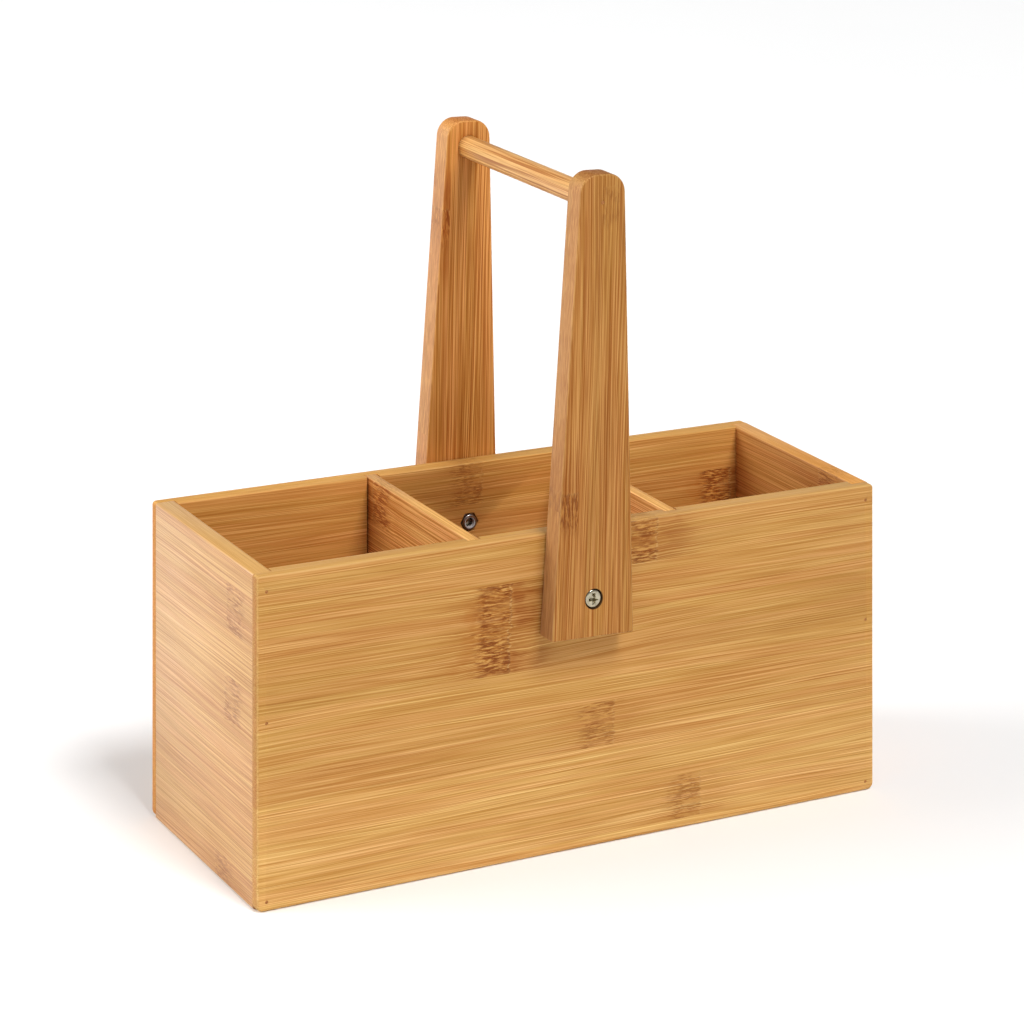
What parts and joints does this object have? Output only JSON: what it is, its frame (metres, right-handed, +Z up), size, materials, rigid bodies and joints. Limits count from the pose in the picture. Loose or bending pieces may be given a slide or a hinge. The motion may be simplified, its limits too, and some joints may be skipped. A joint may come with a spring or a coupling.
{
  "type": "utensil caddy",
  "caption": "Open bamboo caddy for kitchen utensils, with fixed dividers and a carrying handle that swings down over either end.",
  "frame": {"origin": "middle of the box's footprint, on the surface that it stands on", "axes": "+X along the box's length, +Y from the front panel to the back panel, +Z up"},
  "size_m": [0.278, 0.1206, 0.2654],
  "materials": {
    "bamboo_panel": "clear satin lacquer on laminated bamboo, grain along the length",
    "bamboo_end": "clear satin lacquer on laminated bamboo, grain across the end",
    "bamboo_divider": "clear satin lacquer on caramel bamboo, grain along the board",
    "bamboo_base": "clear satin lacquer on a thin bamboo board",
    "bamboo_arm": "clear satin lacquer on edge-laminated bamboo strips, grain along the arm",
    "bamboo_dowel": "clear satin lacquer on a turned bamboo rod",
    "screw_nickel": "bright nickel plate",
    "nut_steel": "zinc plate, slightly darkened",
    "nylon": "natural nylon",
    "brad_steel": "bare wire, set below the face"
  },
  "bodies": {
    "caddy": {"front_panel": "bamboo_panel", "back_panel": "bamboo_panel", "left_end_panel": "bamboo_end", "right_end_panel": "bamboo_end", "base_panel": "bamboo_base", "left_divider": "bamboo_divider", "right_divider": "bamboo_divider", "front_panel_brads": "brad_steel", "back_panel_brads": "brad_steel", "front_pivot_screw": "screw_nickel", "back_pivot_screw": "screw_nickel", "front_lock_nut": "nut_steel", "back_lock_nut": "nut_steel", "front_nut_ring": "nylon", "back_nut_ring": "nylon"},
    "handle": {"front_handle_arm": "bamboo_arm", "back_handle_arm": "bamboo_arm", "handle_dowel": "bamboo_dowel", "front_dowel_brad": "brad_steel", "back_dowel_brad": "brad_steel"}
  },
  "joints": [
    {"name": "handle_swing", "type": "hinge", "parent": "caddy", "child": "handle", "pos_m": [0, 0, 0.1006], "axis": [0, 1, 0], "range_deg": [-112, 109]}
  ]
}
